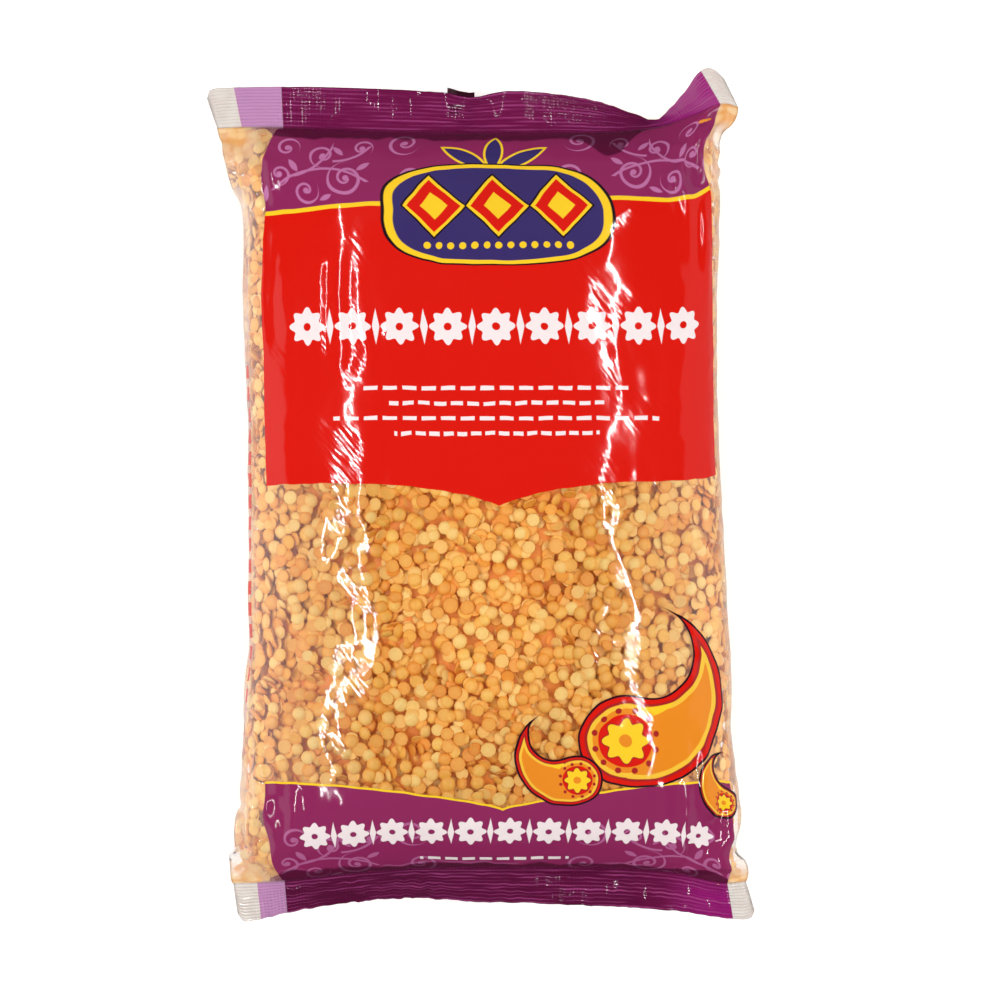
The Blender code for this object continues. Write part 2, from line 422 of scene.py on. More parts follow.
def film_mesh():
    levels = row_levels()
    form = bmesh.new()
    bmesh.ops.create_grid(form, x_segments=COLUMNS, y_segments=len(levels) - 1, size=0.5, calc_uvs=False)
    grid = np.array([vertex.co for vertex in form.verts])
    u = (grid[:, 0]) * GIRTH
    row = np.rint((grid[:, 1] + 0.5) * (len(levels) - 1)).astype(int)
    v = levels[row]
    places, out, _, _ = frame_at(u, v, settled)
    fade = np.clip(v / 12, 0, 1) * np.clip((LENGTH - v) / 12, 0, 1)
    fade = fade * np.clip((places[:, 2] / MM - 0.6) / 3, 0, 1)
    flat = np.stack([u, v * 0.7, 0 * u], axis=-1)
    ripple = (waves(flat, 31, 24, 0.15) + waves(flat, 34, 7, 0.018)
              + waves(flat, 32, 11, 0.05) * np.clip(waves(flat, 33, 60, 1.0), 0, 2))
    places += out * (ripple * fade * MM)[:, None]
    for end, top in ((0, False), (len(levels) - 1, True)):
        last = row == end
        place, side = fold(u[last])
        front = film_at(place, v[last], settled)
        behind = film_at(2 * HALF - place, v[last], settled)
        places[last] = (front + behind) / 2
    layer = form.loops.layers.uv.new("film")
    for vertex, place, flat_u, flat_v in zip(form.verts, places, u, v):
        for loop in vertex.link_loops:
            loop[layer].uv = (flat_u / GIRTH + 0.5, (flat_v + SEAL) / (LENGTH + 2 * SEAL))
        vertex.co = place
    bmesh.ops.remove_doubles(form, verts=form.verts, dist=0.00002)
    bmesh.ops.recalc_face_normals(form, faces=form.faces)
    mesh = bpy.data.meshes.new("printed_film")
    form.to_mesh(mesh)
    form.free()
    mesh.shade_smooth()
    return mesh


film = bpy.data.objects.new("printed_film", film_mesh())
bpy.context.scene.collection.objects.link(film)
open_edges = sum(1 for e in film.data.edges if e.is_loose)
print("film:", len(film.data.polygons), "faces,", open_edges, "loose edges")

# %% [markdown]
# ## The back seam
# The tube is closed down its back by a lap of film, welded and folded flat. It lies
# between the bag and the floor, and its end stands out a little over the top seal.

# %%
soft = settled.copy()
for _ in range(3):
    blurred = (np.roll(soft, 1, axis=1) + np.roll(soft, -1, axis=1) + 2 * soft) / 4
    soft[1:-1] = (blurred[:-2] + blurred[2:] + 2 * blurred[1:-1]) / 4


def seam_mesh(width=10.0, stands_out=2.4):
    form = bmesh.new()
    bmesh.ops.create_grid(form, x_segments=5, y_segments=150, size=0.5)
    grid = np.array([vertex.co for vertex in form.verts])
    u = SEAM + grid[:, 0] * width
    v = -SEAL + (grid[:, 1] + 0.5) * (LENGTH + 2 * SEAL + stands_out)
    past = np.maximum(v - LENGTH - SEAL + 0.7, 0)
    place, out, _, along = frame_at(u, v - past, soft)
    place += (out * 0.14 + along * past[:, None]) * MM
    for vertex, spot in zip(form.verts, place):
        vertex.co = spot
    bmesh.ops.solidify(form, geom=form.faces[:], thickness=0.18 * MM)
    bmesh.ops.recalc_face_normals(form, faces=form.faces)
    mesh = bpy.data.meshes.new("back_seam")
    form.to_mesh(mesh)
    form.free()
    mesh.shade_smooth()
    mesh.set_sharp_from_angle(angle=math.radians(40))
    return mesh


seam = bpy.data.objects.new("back_seam", seam_mesh())
bpy.context.scene.collection.objects.link(seam)
heights = [vertex.co.z / MM for vertex in seam.data.vertices]
print("seam:", len(seam.data.polygons), "faces, from", round(min(heights), 2), "mm up")

# %% [markdown]
# ## The heap behind the lentils
# The lentils that can't be seen are one plain lump. It is the bag's inside drawn in
# from the film towards its middle sheet, so it thins out to nothing at the corners.

# %%
DRAWN_IN = 5.0


def heap_mesh():
    across_from = np.roll(soft[:, ::-1], 1, axis=1)
    sheet = (soft + across_from) / 2
    half = np.linalg.norm(soft - across_from, axis=2, keepdims=True) / 2
    rings = sheet + (soft - sheet) * np.maximum(half - DRAWN_IN, 0.12) / np.maximum(half, 0.12)
    low, high = rings[:, :, :1].min(axis=1, keepdims=True), rings[:, :, :1].max(axis=1, keepdims=True)
    rings[:, :, :1] += (low + high - 2 * rings[:, :, :1]) * DRAWN_IN / (high - low)
    form = bmesh.new()
    chosen = range(3, len(rings) - 3)
    rows = [[form.verts.new(Vector(place + shift) * MM) for place in rings[k]] for k in chosen]
    loops = [[form.edges.new((row[i - 1], row[i])) for i in range(len(row))] for row in rows]
    for first, second in zip(loops, loops[1:]):
        bmesh.ops.bridge_loops(form, edges=first + second)
    for row in (rows[0], rows[-1]):
        for i in range(HALF_STEPS):
            corners = [row[i], row[i + 1], row[-1 - i], row[-i]]
            form.faces.new(list(dict.fromkeys(corners)))
    bmesh.ops.recalc_face_normals(form, faces=form.faces)
    mesh = bpy.data.meshes.new("heap")
    form.to_mesh(mesh)
    form.free()
    mesh.shade_smooth()
    return mesh


heap = bpy.data.objects.new("lentil_heap", heap_mesh())
bpy.context.scene.collection.objects.link(heap)
print("heap:", len(heap.data.polygons), "faces")

# %% [markdown]
# ## Lentils
# A red lentil is sold without its coat and split, so each is half a lens: one flat
# face and one domed, about 5 mm across. The film presses the outer ones nearly flat
# against it, and those behind lie at all angles.

# %%
SIDES = 10


def lentil_template():
    """Half a lens of radius 1 about the origin, made by spinning its profile."""
    profile = ((0.0, -0.17), (0.90, -0.17), (1.0, -0.05), (0.84, 0.13), (0.5, 0.25), (0.0, 0.30))
    form = bmesh.new()
    points = [form.verts.new((r, 0, z)) for r, z in profile]
    edges = [form.edges.new(pair) for pair in zip(points, points[1:])]
    bmesh.ops.spin(form, geom=points + edges, cent=(0, 0, 0), axis=(0, 0, 1),
                   angle=2 * math.pi, steps=SIDES, use_merge=True)
    bmesh.ops.remove_doubles(form, verts=form.verts, dist=0.0001)
    bmesh.ops.recalc_face_normals(form, faces=form.faces)
    form.verts.index_update()
    vertices = np.array([vertex.co for vertex in form.verts])
    faces = [[vertex.index for vertex in face.verts] for face in form.faces]
    form.free()
    return vertices, faces


def see_through(u, v, margin):
    """Where lentils can be seen through the film."""
    window = (u > PRINT_LEFT - margin) & (u < PRINT_RIGHT + margin) & (v > 36) & (v < 172)
    left = (u > BACK_LEFT - margin) & (u < PRINT_LEFT + margin)
    right = (u > PRINT_RIGHT - margin) & (u < BACK_RIGHT + margin)
    return window | left | right


def scattered(seed, spacing):
    """Uneven close places over the clear film, in random order."""
    draw = np.random.default_rng(seed)
    columns = np.arange(-124, 146, spacing)
    rows = np.arange(2.0, LENGTH - 1.5, spacing * 0.866)
    u, v = np.meshgrid(columns, rows)
    u = u + (np.arange(len(rows)) % 2)[:, None] * spacing / 2
    u = u + draw.normal(size=u.shape) * spacing * 0.3
    v = v + draw.normal(size=v.shape) * spacing * 0.3
    keep = see_through(u, v, 4.0) & (v > 1.5) & (v < LENGTH - 1.5)
    order = draw.permutation(keep.sum())
    return u[keep][order], v[keep][order]


def stacked(u, v, radius, deepest=5.0, thick=0.85):
    """Lays lentils on the film one by one. One that meets earlier ones slides under them.

    Gives how deep each lies, how far it leans and which way, and which are near enough
    to the film to be seen.
    """
    count = len(u)
    depth, lean, way = np.zeros(count), np.zeros(count), np.zeros(count)
    seen = np.zeros(count, bool)
    cells = {}
    for k in range(count):
        row, column = int(u[k] // 6.5), int(v[k] // 6.5)
        near = np.array([j for a in (-1, 0, 1) for b in (-1, 0, 1)
                         for j in cells.get((row + a, column + b), ())], int)
        du, dv = u[k] - u[near], v[k] - v[near]
        gap = np.maximum(np.hypot(du, dv), 0.01)
        lap = radius[k] + radius[near] - gap - 0.25
        hit = lap > 0
        if hit.any():
            pull_u, pull_v = (du / gap * lap)[hit].sum(), (dv / gap * lap)[hit].sum()
            pull = math.hypot(pull_u, pull_v) / lap[hit].sum()
            covered = min(lap[hit].max() / (2 * radius[k]), 0.95)
            lean[k] = pull * thick / (2 * radius[k] * (1 - covered) + 0.8)
            way[k] = math.atan2(-pull_v, -pull_u)
            under = 1 - pull + pull * max(covered - 0.3, 0) * 1.4
            depth[k] = depth[near[hit]].max() + thick * under
        if depth[k] < deepest:
            seen[k] = True
            cells.setdefault((row, column), []).append(k)
    return depth, lean, way, seen


def turned(out, across, along, tilt, tilt_way, spin):
    """Matrices that lay a lentil on the film, tilted from its face."""
    cos_w, sin_w = np.cos(tilt_way)[:, None], np.sin(tilt_way)[:, None]
    lean = across * cos_w + along * sin_w
    side = np.cross(out, lean)
    up = out * np.cos(tilt)[:, None] + lean * np.sin(tilt)[:, None]
    lean = np.cross(side, up)
    cos_s, sin_s = np.cos(spin)[:, None], np.sin(spin)[:, None]
    x = lean * cos_s + side * sin_s
    y = side * cos_s - lean * sin_s
    return np.stack([x, y, up], axis=-1)


film_tree = BVHTree.FromPolygons(
    [vertex.co for vertex in film.data.vertices], [list(face.vertices) for face in film.data.polygons])


def proud(points):
    """How far the proudest of a lentil's points stands out of the film."""
    worst = -1.0
    for point in np.concatenate([points, (points + points.mean(axis=0)) / 2]):
        near, normal, _, _ = film_tree.find_nearest(Vector(point))
        worst = max(worst, (Vector(point) - near).dot(normal))
    return worst


def in_bag(point, up=Vector((0, 0, 1))):
    """Whether a place is in the bag: a line up from it goes through an odd number of sheets."""
    crossed, place = 0, film_tree.ray_cast(Vector(point), up)[0]
    while place is not None:
        crossed += 1
        place = film_tree.ray_cast(place + up * 0.000001, up)[0]
    return crossed % 2 == 1


def kept_inside(points, out, middle):
    """Moves each lentil in until it clears the film, and says which do.

    In a narrow corner a smaller one lies midway between the front and the back.
    """
    clear = np.zeros(len(points), bool)
    for k in range(len(points)):
        for _ in range(3):
            over = proud(points[k])
            if over < -0.00006:
                clear[k] = all(map(in_bag, points[k]))
                break
            points[k] -= out[k] * (over + 0.00014)
        flat = (points[k] - points[k].mean(axis=0)) @ (np.eye(3) - 0.7 * np.outer(out[k], out[k]))
        for size in (0.9, 0.75, 0.6, 0.48):
            if not clear[k]:
                points[k] = middle[k] + flat * size
                clear[k] = proud(points[k]) < -0.00002 and all(map(in_bag, points[k]))
    return clear


template, template_faces = lentil_template()
draw = np.random.default_rng(121)
u, v = scattered(21, 2.05)
radius = np.clip(draw.normal(2.8, 0.2, len(u)), 2.2, 3.2)
depth, lean, lean_way, seen = stacked(u, v, radius)
u, v, radius, depth, lean, lean_way = (values[seen] for values in (u, v, radius, depth, lean, lean_way))
count = len(u)
region = waves(np.stack([u, v, 0 * u], axis=-1), 24, 26, 1.0)
direction = waves(np.stack([u, v, 0 * u], axis=-1), 25, 60, 2.5)
on_edge = (region > 0.8) & (draw.random(count) < 0.7)
lean = np.where(on_edge, np.radians(draw.uniform(35, 65, count)), lean + np.radians(draw.uniform(0, 15, count)))
lean_way = np.where(on_edge, direction, lean_way) + draw.normal(0, 0.25, count)
place, out, across, along = frame_at(u, v, soft)
middle = (film_at(u, v, settled) + film_at(2 * HALF - u, v, settled)) / 2
flip = np.where(draw.random(count) < 0.6, 1.0, -1.0)
axes = turned(out, across, along, lean, lean_way, draw.uniform(0, 2 * math.pi, count))
size = radius * MM
sized = template[None] * np.stack([size, size * draw.uniform(0.93, 1.0, count), size * flip], axis=-1)[:, None]
points = np.einsum("nij,nkj->nki", axes, sized)
reach = np.einsum("nki,ni->nk", points, out).max(axis=1)
points += (place - out * (reach + (0.12 + depth) * MM)[:, None])[:, None]
print("lentils near the film:", count, "- against it:", (depth < 0.3).sum(), "- on edge:", on_edge.sum())

clear = kept_inside(points, out, middle)
points, flip = points[clear], flip[clear]
print("kept", clear.sum(), "clear of the film")


# %% [markdown]
# A lentil is paler or deeper orange by its age and side, so they are sorted into three
# kinds by colour, and each kind is one piece with a tone for every lentil. The tone is
# also painted deeper towards each lentil's rim, as painted shade.

# %%
def lentil_piece(name, points, flip, tone):
    count, each = points.shape[:2]
    faces = []
    for k in range(count):
        for face in template_faces:
            ring = [k * each + index for index in face]
            faces.append(ring if flip[k] > 0 else ring[::-1])
    mesh = bpy.data.meshes.new(name)
    mesh.from_pydata(points.reshape(-1, 3).tolist(), [], faces)
    shade = mesh.attributes.new("tone", "FLOAT", "POINT")
    # Painted shade: the tone deepens towards each lentil's rim.
    rim_shade = np.clip((np.hypot(template[:, 0], template[:, 1]) - 0.55) / 0.45, 0, 1)
    tones_with_rim_shade = tone[:, None] * 0.6 + rim_shade[None] * 0.4
    shade.data.foreach_set("value", tones_with_rim_shade.astype(np.float32).ravel())
    mesh.shade_smooth()
    mesh.set_sharp_from_angle(angle=math.radians(40))
    made = bpy.data.objects.new(name, mesh)
    bpy.context.scene.collection.objects.link(made)
    return made


draw = np.random.default_rng(77)
kind = draw.choice(3, size=len(points))
tone = draw.random(len(points))
lentils = []
for number, name in enumerate(("pale_lentils", "orange_lentils", "deep_lentils")):
    chosen = kind == number
    lentils.append(lentil_piece(name, points[chosen], flip[chosen], tone[chosen]))
    triangles = sum(len(face.vertices) - 2 for face in lentils[-1].data.polygons)
    print(name, chosen.sum(), "lentils,", triangles, "triangles")

# %% [markdown]
# ## Shader arithmetic
# Patterns are written as sums on millimetres of film. A Wire is a number in the shader,
# and Python's operators on it add the Math nodes.

# %%
class Wire:
    def __init__(self, net, socket):
        self.net = net
        self.socket = socket

    def __add__(self, other):
        return self.net.math("ADD", self, other)

    def __radd__(self, other):
        return self.net.math("ADD", other, self)

    def __sub__(self, other):
        return self.net.math("SUBTRACT", self, other)

    def __rsub__(self, other):
        return self.net.math("SUBTRACT", other, self)

    def __mul__(self, other):
        return self.net.math("MULTIPLY", self, other)

    def __rmul__(self, other):
        return self.net.math("MULTIPLY", other, self)

    def __truediv__(self, other):
        return self.net.math("DIVIDE", self, other)

    def __rtruediv__(self, other):
        return self.net.math("DIVIDE", other, self)

    def __pow__(self, other):
        return self.net.math("POWER", self, other)

    def __mod__(self, other):
        return self.net.math("FLOORED_MODULO", self, other)

    def __abs__(self):
        return self.net.math("ABSOLUTE", self)

    def __neg__(self):
        return self.net.math("MULTIPLY", self, -1.0)


class Net:
    """The nodes of a material or of the room."""

    def __init__(self, owner):
        owner.use_nodes = True
        self.owner = owner
        self.tree = owner.node_tree
        self.tree.nodes.clear()

    def node(self, kind, settings=None, inputs=None):
        made = self.tree.nodes.new(kind)
        for name, value in (settings or {}).items():
            setattr(made, name, value)
        for name, value in (inputs or {}).items():
            if isinstance(value, Wire):
                self.tree.links.new(value.socket, made.inputs[name])
            elif isinstance(value, bpy.types.NodeSocket):
                self.tree.links.new(value, made.inputs[name])
            else:
                made.inputs[name].default_value = value
        return made

    def math(self, operation, *values, clamp=False):
        made = self.node("ShaderNodeMath", {"operation": operation, "use_clamp": clamp},
                         dict(enumerate(values)))
        return Wire(self, made.outputs[0])

    def least(self, first, *others):
        for other in others:
            first = self.math("MINIMUM", first, other)
        return first

    def most(self, first, *others):
        for other in others:
            first = self.math("MAXIMUM", first, other)
        return first

    def inside(self, distance, soft=0.18):
        """1 where a distance is under 0, with an edge this soft."""
        return self.math("MULTIPLY_ADD", distance, -1.0 / soft, 0.5, clamp=True)

    def far(self, x, y):
        """How far a place is from the origin."""
        return (x * x + y * y) ** 0.5

    def paint(self, mask, under, over):
        made = self.node("ShaderNodeMix", {"data_type": "RGBA"}, {0: mask, 6: under, 7: over})
        return made.outputs[2]

    def place(self, x, y):
        return self.node("ShaderNodeCombineXYZ", None, {0: x, 1: y}).outputs[0]

    def cloud(self, place, scale, detail=0.0, kind="2D"):
        """Soft noise, from 0 to 1."""
        made = self.node("ShaderNodeTexNoise", {"noise_dimensions": kind},
                         {"Vector": place, "Scale": scale, "Detail": detail})
        return Wire(self, made.outputs["Fac"])

    def rise(self, value, low, high):
        """0 below low, 1 above high."""
        return self.math("MULTIPLY_ADD", value, 1 / (high - low), -low / (high - low), clamp=True)

    def finish(self, shader, kind="ShaderNodeOutputMaterial"):
        self.node(kind, None, {"Surface": shader.outputs[0]})
        return self.owner


def colour(red, green, blue):
    """A colour named by its 8-bit screen values."""
    def linear(value):
        value /= 255
        return value / 12.92 if value <= 0.04045 else ((value + 0.055) / 1.055) ** 2.4
    return (linear(red), linear(green), linear(blue), 1.0)


# %% [markdown]
# ## Printing
# The print is laid out on the flat film in millimetres.

# %%
RED = colour(206, 22, 11)
PURPLE = colour(134, 37, 85)
SEAL_PURPLE = colour(97, 8, 62)
LIT_MAGENTA = colour(150, 24, 116)
PAINTED_RIB_HIGHLIGHT = colour(156, 62, 121)
SHADOW_PURPLE = colour(48, 2, 24)
LILAC = colour(192, 120, 169)
PALE_LILAC = colour(184, 132, 176)
SEAL_WHITE = colour(212, 214, 216)
YELLOW = colour(238, 194, 38)
INDIGO = colour(55, 43, 98)
WHITE = colour(232, 218, 218)
BLACK = colour(28, 14, 24)
PALE_BLUR = colour(238, 198, 144)
DEEP_BLUR = colour(226, 164, 100)
ORANGE = colour(222, 131, 32)
GOLD = colour(232, 184, 56)
BRICK = colour(158, 32, 32)

def flat_film(net):
    """The flat film place in millimetres, across and along."""
    at = net.node("ShaderNodeSeparateXYZ", None, {0: net.node("ShaderNodeUVMap", {"uv_map": "film"}).outputs[0]})
    return (Wire(net, at.outputs[0]) - 0.5) * GIRTH, Wire(net, at.outputs[1]) * (LENGTH + 2 * SEAL) - SEAL


ink = Net(bpy.data.materials.new("printed_film"))
u, v = flat_film(ink)
middle = abs(u - 5.0)

print_left = (PRINT_LEFT + ink.math("MULTIPLY_ADD", v, 1 / 30, -9.5, clamp=True) * 10.0
              + ink.math("MULTIPLY_ADD", v, -1 / 40, 1.0, clamp=True) * 5.0)
top_line = 275 + 0.025 * u - 0.00045 * middle * middle
red_edge = 166.2 + 0.006 * u - 9.7 * ink.math("EXPONENT", middle * (-1 / 24))
bottom_line = 38.3 + 14.5 * (middle / 92) ** 0.75

on_front = ink.least(ink.inside(print_left - u), ink.inside(u - PRINT_RIGHT))
in_top = ink.inside(top_line - v)
in_red = ink.inside(red_edge - v)
in_bottom = ink.inside(v - bottom_line)
on_back = ink.most(ink.inside(u - BACK_LEFT), ink.inside(BACK_RIGHT - u))


# %% [markdown]
# Ornament is drawn by distance: each motif says how far a place is outside it, in
# millimetres. A scroll is a spiral whose arms are one pitch apart, an arc joins two
# scrolls, and a leaf is what two circles share.

# %%
def scroll(x, y, cx, cy, size, start=0.0, hand=1, pitch=4.2):
    x, y = x - cx, (y - cy) * hand
    away = ink.far(x, y)
    turn = ink.math("ARCTAN2", y, x) * (1 / (2 * math.pi))
    arm = abs((away * (1 / pitch) - turn + (start + 0.5)) % 1.0 - 0.5) * pitch
    return ink.least(ink.most(arm - away * 0.05 - 0.36, away - size), away - 1.2)


def arc(x, y, cx, cy, radius, left, right, low, high, width=0.5):
    line = abs(ink.far(x - cx, y - cy) - radius) - width
    return ink.most(line, left - x, x - right, low - y, y - high)


def leaf(x, y, cx, cy, wide, tall, turn=0.0):
    """A leaf of these half sizes, turned by an angle in degrees."""
    cos, sin = math.cos(math.radians(turn)), math.sin(math.radians(turn))
    x, y = x - cx, y - cy
    x, y = x * cos + y * sin, y * cos - x * sin
    radius = (tall * tall + wide * wide) / (2 * wide)
    return ink.far(abs(x) + (radius - wide), y) - radius


def drop(x, y, cx, cy, size, turn, hand=1):
    """A curled drop: a half disc, with a smaller disc added below and taken away above."""
    cos, sin = math.cos(math.radians(turn)), math.sin(math.radians(turn))
    x, y = x - cx, y - cy
    x, y = (x * cos + y * sin) * hand, y * cos - x * sin
    half = size / 2
    body = ink.least(ink.most(ink.far(x, y) - size, -x), ink.far(x, y + half) - half)
    return ink.most(body, half - ink.far(x, y - half))


# %% [markdown]
# The same lilac scrollwork runs over both purple bands, mirrored about the middle of
# the front. Its heights are from each band's lower edge.

# %%
def scrollwork(lift):
    return ink.least(
        scroll(middle, lift, 57, 11, 7.4, 0.30), scroll(middle, lift, 73.5, 7.5, 5.4, 0.1, -1),
        scroll(middle, lift, 84, 15, 4.6, 0.6), scroll(middle, lift, 66, 22, 5.4, 0.8, -1),
        scroll(middle, lift, 50.5, 25, 4.4, 0.4), scroll(middle, lift, 80, 27, 5.0, 0.2),
        scroll(middle, lift, 34, 27, 6.4, 0.7, -1), scroll(middle, lift, 32, 9, 6.6, 0.2),
        arc(middle, lift, 68, -14, 30, 45, 88, 9, 17), arc(middle, lift, 80, 33, 19, 62, 80, 10, 30),
        arc(middle, lift, 61, 36, 17, 47, 62, 16, 26),
        leaf(middle, lift, 50, 16, 1.1, 3.0, 60), leaf(middle, lift, 78, 18.5, 1.2, 3.2, -30),
        leaf(middle, lift, 91, 8, 1.2, 3.4, 20), leaf(middle, lift, 66, 4, 1.0, 2.8, 70),
        leaf(middle, lift, 60, 24, 1.1, 3.0, -40))


# %% [markdown]
# Colours are laid on one over another, as the press lays its inks. The plain fields are
# printed everywhere. The front's ornament is drawn in three stretches, upper, middle
# and lower, because Cycles then works out only the one that it looks at.

# %%
fields = ink.paint(in_top, RED, PURPLE)
fields = ink.paint(in_bottom, fields, PURPLE)
for line in (top_line, bottom_line):
    fields = ink.paint(ink.inside(abs(v - line) - 0.85), fields, YELLOW)
upper = ink.paint(ink.inside(scrollwork(v - top_line), 0.3) * in_top * 0.75, fields, LILAC)
lower = ink.paint(ink.inside(scrollwork(v - 1.0), 0.3) * in_bottom * 0.5, fields, LILAC)

# %% [markdown]
# A rimmed oval plaque with three lozenges, a row of beads and a sprig on top.

# %%
px, py = u - 6.0, v - 269.5
oval = (((abs(px) / 44.5) ** 2.8 + (abs(py) / 20.0) ** 2.8) ** (1 / 2.8) - 1) * 20
sprig = ink.least(leaf(px, py, 0, 26, 3.0, 8.0), leaf(px, py, -11, 23.5, 2.6, 9.5, 62),
                  leaf(px, py, 11, 23.5, 2.6, 9.5, -62))
sprig_clear = ink.inside(19.0 - py)
upper = ink.paint(ink.inside(sprig - 0.9) * sprig_clear, upper, YELLOW)
upper = ink.paint(ink.inside(sprig) * sprig_clear, upper, INDIGO)
for outline, tint in ((oval - 0.6, BLACK), (oval, YELLOW), (oval + 1.5, INDIGO)):
    upper = ink.paint(ink.inside(outline), upper, tint)


def nearest(x, step, count):
    """Sideways distance from the nearest of a row of this many centres, 0 the middle one."""
    half = (count - 1) / 2
    number = ink.most(ink.least(ink.math("ROUND", x / step + half), count - 1.0), 0.0)
    return x - (number - half) * step


lozenge = (abs(nearest(px, 25.0, 3)) / 10.5 + abs(py - 3.0) / 10.5 - 1) * 7.4
bead = ink.far(nearest(px, 4.6, 13), py + 12.6) - 1.35
for outline, tint in ((lozenge - 1.9, BLACK), (lozenge - 1.2, YELLOW), (lozenge, RED),
                      (lozenge + 3.6, YELLOW), (bead, YELLOW)):
    upper = ink.paint(ink.inside(outline), upper, tint)

# %% [markdown]
# Two white friezes of flowers and lozenges, and rows of short dashes.

# %%
def flower(x, y, size, petals=8):
    """A flower with this many petals, open in the middle."""
    turn = ink.math("COSINE", ink.math("ARCTAN2", y, x) * float(petals))
    away = ink.far(x, y)
    return ink.most(away - (turn * (size * 0.13) + size * 0.87), size * 0.2 - away)


def frieze(x, y, tall, step, count):
    """Flowers in a row, with upright lozenges between them."""
    flowers = flower(nearest(x, step, count), y, tall * 0.84)
    lozenges = (abs(nearest(x, step, count - 1)) / (tall * 0.17) + abs(y) / (tall * 0.8) - 1) * tall * 0.16
    return ink.least(flowers, lozenges)


def dashes(x, y, half_long, step=7.4, half=0.75):
    return ink.most(abs(y) - half, abs(x % step - step / 2) - step * 0.36, abs(x) - half_long)


white = ink.least(
    frieze(u - 5.0, v - 225.4, 8.6, 18.3, 9),
    dashes(u - 5, v - 201.6, 51), dashes(u - 5, v - 195.8, 41, 6.1), dashes(u - 5, v - 190.0, 63),
    dashes(u - 5, v - 184.2, 39, 5.3))
centre = ink.paint(ink.inside(white), fields, WHITE)
white = ink.least(frieze(u - 8.0, v - 28.6, 7.2, 14.9, 11), dashes(u - 2, v - 14.0, 29, 6.7, 0.9))
lower = ink.paint(ink.inside(white), lower, WHITE)

# %% [markdown]
# Curled drops, the old shawl pattern, stand over the lower right of the clear window,
# each with an outline, a border, a field and a flower.

# %%
drops = ((56.0, 83.0, 36.0, -14.0, 1), (29.0, 59.0, 19.5, 24.0, -1), (93.0, 50.0, 13.0, -8.0, -1))
art = None
for cx, cy, size, turn, hand in drops:
    shape = drop(u, v, cx, cy, size, turn, hand)
    angle = math.radians(turn)
    fx = u - (cx + math.sin(angle) * size / 2)
    fy = v - (cy - math.cos(angle) * size / 2)
    away, about = ink.far(fx, fy), ink.math("ARCTAN2", fy, fx) * (12 / (2 * math.pi))
    beads = ink.far(away - size * 0.335, abs(about % 1.0 - 0.5) * (size * 0.17)) - size * 0.032
    petals = flower(fx, fy, size * 0.25)
    tip = drop(u, v, cx - math.sin(angle) * size * 0.2, cy + math.cos(angle) * size * 0.2, size * 0.42, turn, hand)
    tip = ink.most(tip, size * 0.4 - away, shape + size * 0.1)
    for mask, tint in (
            (shape, BLACK), (shape + 0.8, RED), (shape + size * 0.07, BRICK), (shape + size * 0.10, GOLD),
            (shape + size * 0.15, ORANGE), (beads, BRICK), (away - size * 0.29, RED),
            (petals - 0.6, BRICK), (petals, YELLOW), (away - size * 0.07, ORANGE), (tip, YELLOW)):
        lower = ink.paint(ink.inside(mask), lower, tint)
    art = shape if art is None else ink.least(art, shape)

# %% [markdown]
# Small red dashes run up the left side strip. In the seals the ink is doubled and so
# deeper, and the back's print shows through the clear front as lilac. Painted shade
# lies where the film folds away beside the seals, and painted light on their corners,
# ribs and a crease.

# %%
TICKS_U = -98.5
ticks = ink.inside(ink.most(abs(u - TICKS_U) - 1.7, abs(v % 8.2 - 4.1) - 2.6, 82 - v, v - 214))
centre = ink.paint(ticks, centre, RED)
lower = ink.paint(ticks, lower, RED)
at_top, at_bottom = ink.inside(LENGTH - v, 1.0), ink.inside(v, 1.0)
in_seal = ink.most(at_bottom, at_top)
see_back = in_seal * ink.inside(-93.5 - u) * ink.inside(u - print_left)
bare_seal = in_seal * (1 - ink.most(on_front, on_back, see_back))


def near_seal(shade, doubled, deep, lit_corner, fold_shade):
    """The print by one seal, with painted light and shade. Each mask says where that tint goes, and how strong it
    is.
    """
    shade = ink.paint(doubled * on_front * 0.85, shade, SEAL_PURPLE)
    shade = ink.paint(deep, shade, SHADOW_PURPLE)
    # Painted light: a lighter magenta on the seal's corner, where it turns towards the light.
    shade = ink.paint(doubled * on_front * lit_corner, shade, LIT_MAGENTA)
    # Painted highlights: lighter lines along the seal's ribs, in patches, where they would catch the light.
    rib_cloud = ink.rise(ink.cloud(ink.place(u * 0.06, v), 0.7, 2.0), 0.4, 0.62)
    rib_highlights = ink.inside(abs((v - LENGTH) % 1.65 - 0.8) - 0.3, 0.4) * rib_cloud
    shade = ink.paint(doubled * on_front * rib_highlights * 0.75, shade, PAINTED_RIB_HIGHLIGHT)
    # Painted shade where the film folds away beside the seal.
    shade = ink.paint(fold_shade * on_front * 0.72, shade, SHADOW_PURPLE)
    shade = ink.paint(see_back, shade, PALE_LILAC)
    return ink.paint(bare_seal, shade, SEAL_WHITE)


lap = ink.most(abs(u + 11.0) - 2.3, abs(v - 325.0) - 2.3)
unrest = ink.cloud(ink.place(u, v), 0.06, 2.0) - 0.5
# Painted shade: a dark band under the top seal, where the film turns away from the light, reaching furthest down
# in the valley near the right corner and stopping past it.
shade_from = (303.0 + unrest * 9.0 + ink.rise(u, 56, 66) * 14.0
             - 11.0 * ink.math("EXPONENT", (u - 52.0) * (u - 52.0) * (-1 / 60)))
shade_under_top = ink.inside(shade_from - v, 1.2) * ink.inside(v - LENGTH, 0.6)
upper = near_seal(upper, at_top, ink.inside(lap) * 0.55, ink.rise(u, 64, 76) * ink.rise(v, 300, 314), shade_under_top)

unrest = ink.cloud(ink.place(u, v), 0.06, 2.0) * 9.0 - 4.5
